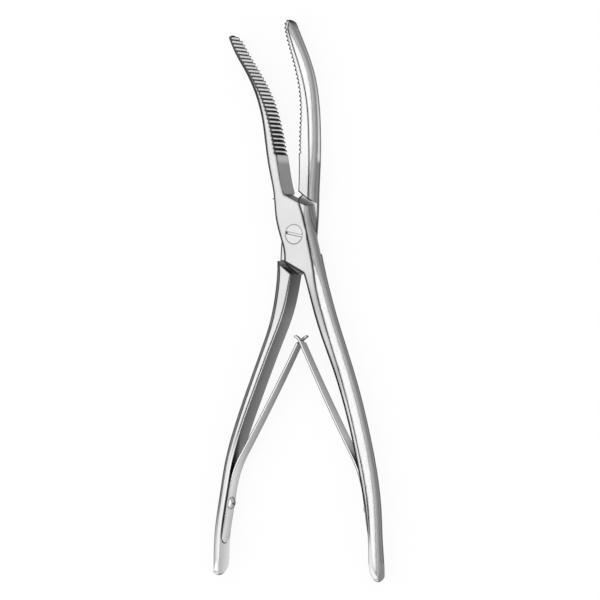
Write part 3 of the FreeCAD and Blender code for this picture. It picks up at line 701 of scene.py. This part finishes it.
screw_steel = turned_steel()
for part in ("pivot_screw", "left_spring_screw", "right_spring_screw"):
    dress(part, screw_steel)
print("screws dressed")

# %% [markdown]
# ## The leaf springs
#
# Each spring is one strip of sheet steel. Its foot is screwed to a handle, it
# turns a corner, and its long blade bows up to meet the other blade, where
# the two tips curl away from each other. In the construction model a spring
# is a foot and a blade, so that a hinge can stand for its bend. Here it is
# one strip again. A curve with a thickness could make it, but its width has
# to change along it, so a small mesh is swept along the strip's own line:
# straight stretches and arcs, each with a length in millimetres and a turn in
# degrees.

# %% The line of a spring
BLADE_LINE = ((8.35, 10.4), (57.85, -3.4), (3.93, 45.0))
FOOT_LINE = ((9.42, -10.8), (23.9, 0.0))
FOOT_HEADING = 171.7
BLADE_HEADING = -8.3
STEP_MM = 0.7


def spring_line(start_heading, stretches):
    """Points along arcs, in metres, with the heading at each, in degrees right of straight up."""
    x = y = 0.0
    heading = start_heading
    points = [(x, y, heading)]
    for length, turn in stretches:
        count = max(2, round(length / STEP_MM))
        for _ in range(count):
            middle = math.radians(heading + turn / count / 2)
            x += length / count * math.sin(middle) / 1000
            y += length / count * math.cos(middle) / 1000
            heading += turn / count
            points.append((x, y, heading))
    return points


blade_line = spring_line(BLADE_HEADING, BLADE_LINE)
foot_line = spring_line(FOOT_HEADING, FOOT_LINE)
print("points on a blade and on a foot:", len(blade_line), len(foot_line))

# %% [markdown]
# The foot's line runs down from the bend and the blade's runs up, so the foot
# is turned round and the two are joined to one line, from the foot's end to
# the tip.

# %% One line from foot to tip
whole_line = [(x, y, heading - 180) for x, y, heading in reversed(foot_line)] + blade_line[1:]
measured = 0.0
for (x0, y0, _), (x1, y1, _) in zip(whole_line, whole_line[1:]):
    measured += math.hypot(x1 - x0, y1 - y0)
print("a spring is", round(measured * 1000, 1), "mm long")

# %% [markdown]
# The strip is widest at the foot and tapers to the tip. Near the tip only its
# lower half goes on, as a tongue, so that the two blades can pass each other.
# The foot's end is cut round.

# %% How wide the strip is
TIP_WIDE = 0.0046
REACH = 0.0772
TONGUE_START = 0.0658
TONGUE_EDGE = -0.00025
FOOT_ROUND = 0.0033
BLUNT_END = 0.0008


def half_widths(y, run):
    """The strip's two edges at height y, and at a distance run from the foot's end."""
    share = min(1.0, max(0.0, y / REACH))
    wide = (FOOT_WIDE + (TIP_WIDE - FOOT_WIDE) * share) / 2
    low, high = -wide, wide
    if y > TONGUE_START:
        high = TONGUE_EDGE
    if run < FOOT_ROUND:
        rounded = math.sqrt(max(0.0, FOOT_ROUND**2 - (FOOT_ROUND - run) ** 2))
        rounded = max(rounded, BLUNT_END)
        low, high = max(low, -rounded), min(high, rounded)
    return low, high


print("width at the tongue in mm:", [round(edge * 1000, 2) for edge in half_widths(TONGUE_START, measured)])

# %% The corners of the strip at one point
THICK = 0.00095


def corners_at(x, y, heading, low, high):
    angle = math.radians(heading)
    side = Vector((math.cos(angle), -math.sin(angle), 0)) * (THICK / 2)
    middle = Vector((x, y, 0))
    around = ((1, low), (1, high), (-1, high), (-1, low))
    return [middle + side * sign + Vector((0, 0, depth)) for sign, depth in around]


print("sheet thickness in mm:", THICK * 1000)

# %% Sweep the corners along the line
def strip_mesh(name):
    mesh = bmesh.new()
    rings = []
    run = 0.0
    previous = None
    for x, y, heading in whole_line:
        if previous:
            run += math.hypot(x - previous[0], y - previous[1])
        previous = (x, y)
        corners = corners_at(x, y, heading, *half_widths(y, run))
        rings.append([mesh.verts.new(corner) for corner in corners])
    for lower, upper in zip(rings, rings[1:]):
        for i in range(4):
            j = (i + 1) % 4
            mesh.faces.new((lower[i], lower[j], upper[j], upper[i]))
    mesh.faces.new(rings[0][::-1])
    mesh.faces.new(rings[-1])
    bmesh.ops.recalc_face_normals(mesh, faces=mesh.faces)
    data = bpy.data.meshes.new(name)
    mesh.to_mesh(data)
    mesh.free()
    return data


print("rings in a strip:", len(whole_line))

# %% [markdown]
# ## Steel of the springs
#
# A spring is cut from rolled strip, so the fine lines run along it. The tone
# of its faces follows its length too, as painted shade: the right one is dark
# low down, where it mirrors the handle close by, and the left one gets darker
# towards the tip. Painted light also makes the faces lighter the further they
# stand from the table. Its cut edge stays white, between two thin dark lines
# of painted shade. They are made as on the forgings, but narrower, and they
# end above the foot's round end.

# %% Strip steel
STRIP_TONE = (0.9, 0.96)
STRIP_ROUGHNESS = (0.18, 0.26)
STRIP_LINES_ALONG = (1, 0.05, 1)
STRIP_SIDE = (0.3, 0.7)
STRIP_EDGE = 0.00042
# Painted light away from the table, then painted shade along each spring's length.
STRIP_DEPTH_PAINTED_LIGHT = (0.002, 0.0085, 0.8, 1.15)
FOOT_END = (-0.136, -0.128)
LEFT_LEAF_PAINTED_SHADE = [(-138, 0.72), (-107, 0.8), (-96, 0.6), (-83, 0.5), (-69, 0.42), (-60, 0.32),
                   (-49, 0.28)]
RIGHT_LEAF_PAINTED_SHADE = [(-112, 0.35), (-104, 0.2), (-97, 0.34), (-90, 0.58), (-75, 0.5), (-60, 0.44),
                    (-50, 0.4)]


def strip_steel(name, stops):
    steel = start_steel(name, STRIP_TONE, STRIP_ROUGHNESS, STRIP_LINES_ALONG)
    tree = steel.tree
    side = smooth_range(tree, steel.upright, *STRIP_SIDE, 1, 0)
    face = times(tree, along_length(steel, stops), smooth_range(tree, steel.spot["Z"], *STRIP_DEPTH_PAINTED_LIGHT))
    steel.colour = times(tree, steel.colour, between(tree, side, 1.0, face))
    left, right, to_right = painted_edge_lines(steel, STRIP_EDGE)
    cut_edge = between(tree, to_right, left, 1.0)
    lines = between(tree, side, cut_edge, right)
    above_end = smooth_range(tree, steel.spot["Y"], *FOOT_END, 0, 1)
    steel.colour = times(tree, steel.colour, between(tree, above_end, 1.0, lines))
    return finish_steel(steel, brushing=0.1)


left_strip = strip_steel("left_strip_steel", LEFT_LEAF_PAINTED_SHADE)
right_strip = strip_steel("right_strip_steel", RIGHT_LEAF_PAINTED_SHADE)
print("strip steels:", left_strip.name, right_strip.name)

# %% [markdown]
# A spring stands where its hinge is in the construction model, turned to its
# handle. The right one is the left one turned over, so that its tongue passes
# in front. The two places are read from the model's joints.

# %% Where the springs stand
LEFT_TURN = Matrix.Rotation(math.radians(-29.19), 4, "Z")
RIGHT_TURN = Matrix.Rotation(math.radians(27.39), 4, "Z") @ Matrix.Rotation(math.pi, 4, "Y")

bends = {joint["child"]: Vector(joint["pos_m"]) for joint in frame["joints"]}
lift = Vector((0, 0, MID_DEPTH))
left_place = Matrix.Translation(bends["left_leaf"] + lift) @ LEFT_TURN
right_place = Matrix.Translation(bends["right_leaf"] + lift) @ RIGHT_TURN
print("bends:", bends["left_leaf"], bends["right_leaf"])

# %% [markdown]
# The strip's edges get a real rounding from a bevel modifier, which is
# applied at once, and the construction model's foot and blade are hidden.

# %% Place both springs
EDGE_ROUND = 0.00012


def leaf_spring(side, place, blade, material):
    spring = bpy.data.objects.new(side + "_leaf", strip_mesh(side + "_leaf"))
    bpy.context.collection.objects.link(spring)
    spring.matrix_world = place
    spring.data.materials.append(material)
    rounding = spring.modifiers.new("edge", "BEVEL")
    rounding.width = EDGE_ROUND
    rounding.segments = 2
    rounding.limit_method = "ANGLE"
    bpy.context.view_layer.update()
    solid = spring.evaluated_get(bpy.context.evaluated_depsgraph_get())
    spring.data = bpy.data.meshes.new_from_object(solid)
    spring.modifiers.clear()
    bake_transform(spring)
    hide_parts(blade + "_spring", blade + "_foot")
    return spring


left_spring = leaf_spring("left", left_place, "left_leaf", left_strip)
right_spring = leaf_spring("right", right_place, "right_leaf", right_strip)
print("faces in both springs:", len(left_spring.data.polygons) + len(right_spring.data.polygons))
